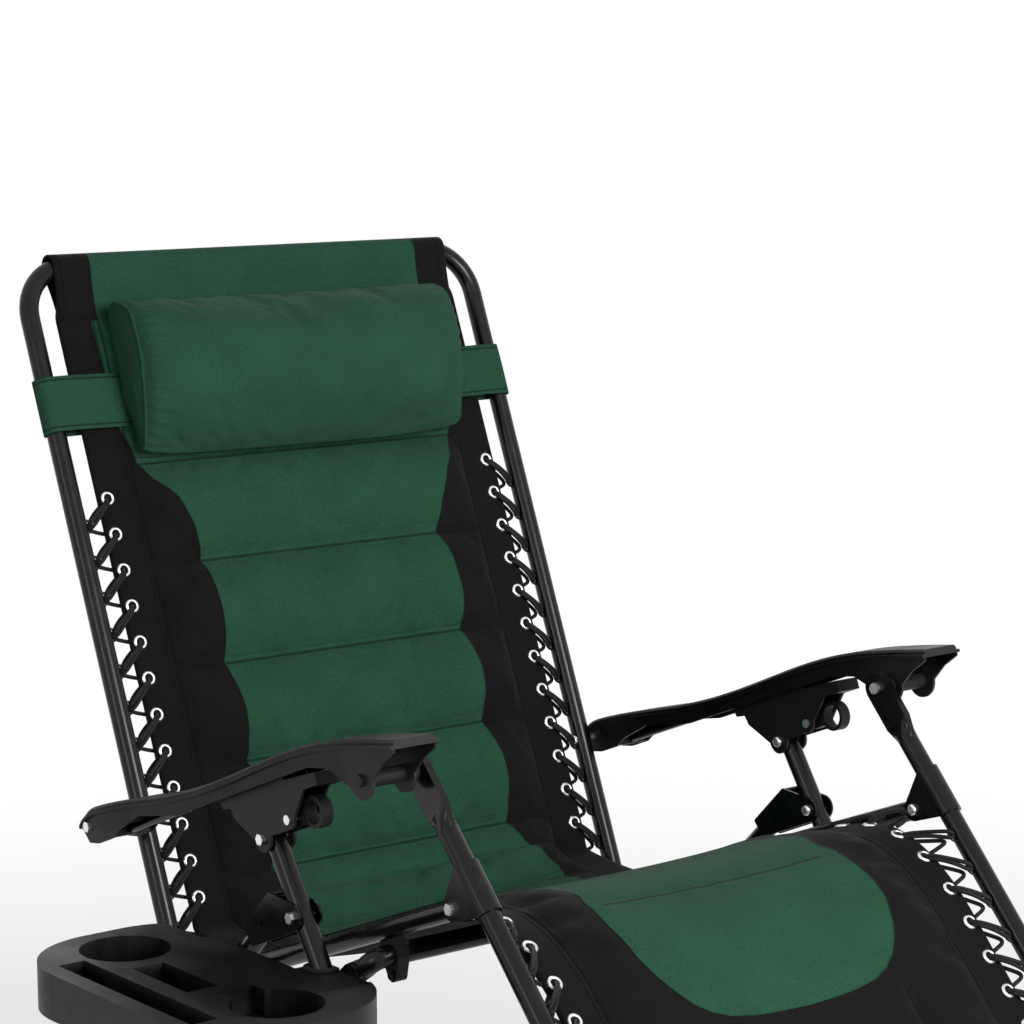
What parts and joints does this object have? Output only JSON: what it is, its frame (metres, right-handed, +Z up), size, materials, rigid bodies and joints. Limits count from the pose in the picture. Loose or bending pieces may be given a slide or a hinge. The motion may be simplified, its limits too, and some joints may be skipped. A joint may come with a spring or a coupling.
{
  "type": "zero gravity recliner",
  "caption": "Folding lounge recliner: bent tube frame, padded sling laced with bungee cord, sliding headrest pillow, locking armrests and a clip-on side tray with cup holders",
  "frame": {"origin": "on the floor, midway between the front and rear ground bars and on the centre plane of the frame; the side tray stands out on one side only, so the box is not centred on it", "axes": "+X the sitter's left, -Y the front (the way the sitter looks), +Z up"},
  "size_m": [0.9566, 1.1772, 1.1242],
  "materials": {
    "coated_steel": "gloss black powder coat on steel tube",
    "padded_polyester": "woven polyester, forest green panels on black",
    "bungee_cord": "braided black sleeve over elastic",
    "zinc_hardware": "bright zinc-plated bolts and bar",
    "nylon": "black nylon glides, spacers and saddles",
    "moulded_plastic": "fine-grained black polypropylene"
  },
  "bodies": {
    "base": {"front_leg_frame": "coated_steel", "front_foot_l": "nylon", "front_foot_r": "nylon", "cross_tube": "coated_steel", "cross_bolt_l": "zinc_hardware", "cross_bolt_r": "zinc_hardware", "link_rest_l": "nylon", "link_rest_r": "nylon", "fork_bolt_l": "zinc_hardware", "fork_bolt_r": "zinc_hardware", "side_tray": "moulded_plastic"},
    "rear_legs": {"rear_leg_frame": "coated_steel", "rear_foot_l": "nylon", "rear_foot_r": "nylon", "fork_bracket_l": "coated_steel", "fork_bracket_r": "coated_steel", "seat_bolt_l": "zinc_hardware", "seat_bolt_r": "zinc_hardware", "seat_spacer_l": "nylon", "seat_spacer_r": "nylon"},
    "seat_link": {"seat_rail_l": "coated_steel", "seat_rail_r": "coated_steel", "seat_sling": "padded_polyester", "back_hinge_bolt_l": "zinc_hardware", "back_hinge_bolt_r": "zinc_hardware", "knee_hinge_bolt_l": "zinc_hardware", "knee_hinge_bolt_r": "zinc_hardware"},
    "back_frame": {"back_tube": "coated_steel", "back_bracket_l": "coated_steel", "back_bracket_r": "coated_steel", "back_sling": "padded_polyester", "back_lacing_l": "bungee_cord", "back_lacing_r": "bungee_cord", "armrest_bolt_l": "zinc_hardware", "armrest_bolt_r": "zinc_hardware"},
    "front_frame": {"front_tube": "coated_steel", "front_stud_l": "zinc_hardware", "front_stud_r": "zinc_hardware", "knee_bracket_l": "coated_steel", "knee_bracket_r": "coated_steel", "leg_sling": "padded_polyester", "leg_lacing_l": "bungee_cord", "leg_lacing_r": "bungee_cord"},
    "headrest": {"headrest_pillow": "padded_polyester", "headrest_strap_l": "padded_polyester", "headrest_strap_r": "padded_polyester"},
    "armrest_l": {"armrest_shell_l": "moulded_plastic", "lock_bar_l": "zinc_hardware", "front_boss_l": "zinc_hardware"},
    "lock_pivot_l": {"lock_bolt_l": "zinc_hardware"},
    "lock_l": {"lock_housing_l": "moulded_plastic", "lever_pin_l": "zinc_hardware"},
    "lever_l": {"release_lever_l": "moulded_plastic"},
    "armrest_r": {"armrest_shell_r": "moulded_plastic", "lock_bar_r": "zinc_hardware", "front_boss_r": "zinc_hardware"},
    "lock_pivot_r": {"lock_bolt_r": "zinc_hardware"},
    "lock_r": {"lock_housing_r": "moulded_plastic", "lever_pin_r": "zinc_hardware"},
    "lever_r": {"release_lever_r": "moulded_plastic"}
  },
  "joints": [
    {"name": "fold", "type": "hinge", "parent": "base", "child": "rear_legs", "pos_m": [0, -0.104, 0.5], "axis": [1, 0, 0], "range_deg": [-40, 0]},
    {"name": "seat_tilt", "type": "hinge", "parent": "rear_legs", "child": "seat_link", "pos_m": [0, 0.02088, 0.41557], "axis": [-1, 0, 0], "range_deg": [0, 11.67]},
    {"name": "recline", "type": "hinge", "parent": "seat_link", "child": "back_frame", "pos_m": [0, 0.16595, 0.35822], "axis": [-1, 0, 0], "range_deg": [0, 24], "deforming": ["seat_sling"]},
    {"name": "knee", "type": "hinge", "parent": "seat_link", "child": "front_frame", "pos_m": [0, -0.31205, 0.54719], "axis": [-1, 0, 0], "range_deg": [0, 33.99]},
    {"name": "headrest_slide", "type": "slide", "parent": "back_frame", "child": "headrest", "axis": [0, 0.3746, 0.9272], "range_m": [-0.04, 0.06]},
    {"name": "armrest_swing_l", "type": "hinge", "parent": "back_frame", "child": "armrest_l", "pos_m": [0, 0.26605, 0.52324], "axis": [-1, 0, 0], "range_deg": [-24.2, 0]},
    {"name": "lock_fold_l", "type": "hinge", "parent": "base", "child": "lock_pivot_l", "pos_m": [0, -0.05704, 0.57204], "axis": [1, 0, 0], "range_deg": [-40, 0]},
    {"name": "lock_recline_l", "type": "hinge", "parent": "lock_pivot_l", "child": "lock_l", "pos_m": [0, -0.05704, 0.57204], "axis": [-1, 0, 0], "range_deg": [0, 11.47]},
    {"name": "release_lever_l", "type": "hinge", "parent": "lock_l", "child": "lever_l", "pos_m": [0, -0.10315, 0.60096], "axis": [-1, 0, 0], "range_deg": [0, 8], "stiffness_Nm_per_rad": 0.4, "springref_deg": -17.19},
    {"name": "armrest_swing_r", "type": "hinge", "parent": "back_frame", "child": "armrest_r", "pos_m": [0, 0.26605, 0.52324], "axis": [-1, 0, 0], "range_deg": [-24.2, 0]},
    {"name": "lock_fold_r", "type": "hinge", "parent": "base", "child": "lock_pivot_r", "pos_m": [0, -0.05704, 0.57204], "axis": [1, 0, 0], "range_deg": [-40, 0]},
    {"name": "lock_recline_r", "type": "hinge", "parent": "lock_pivot_r", "child": "lock_r", "pos_m": [0, -0.05704, 0.57204], "axis": [-1, 0, 0], "range_deg": [0, 11.47]},
    {"name": "release_lever_r", "type": "hinge", "parent": "lock_r", "child": "lever_r", "pos_m": [0, -0.10315, 0.60096], "axis": [-1, 0, 0], "range_deg": [0, 8], "stiffness_Nm_per_rad": 0.4, "springref_deg": -17.19}
  ],
  "couplings": [
    {"joint": "seat_tilt", "follows": "recline", "ratio": 0.4862},
    {"joint": "knee", "follows": "recline", "ratio": 1.4162},
    {"joint": "armrest_swing_l", "follows": "recline", "ratio": -1.0083},
    {"joint": "lock_fold_l", "follows": "fold", "ratio": 1},
    {"joint": "lock_recline_l", "follows": "recline", "ratio": 0.4779},
    {"joint": "armrest_swing_r", "follows": "recline", "ratio": -1.0083},
    {"joint": "lock_fold_r", "follows": "fold", "ratio": 1},
    {"joint": "lock_recline_r", "follows": "recline", "ratio": 0.4779}
  ]
}
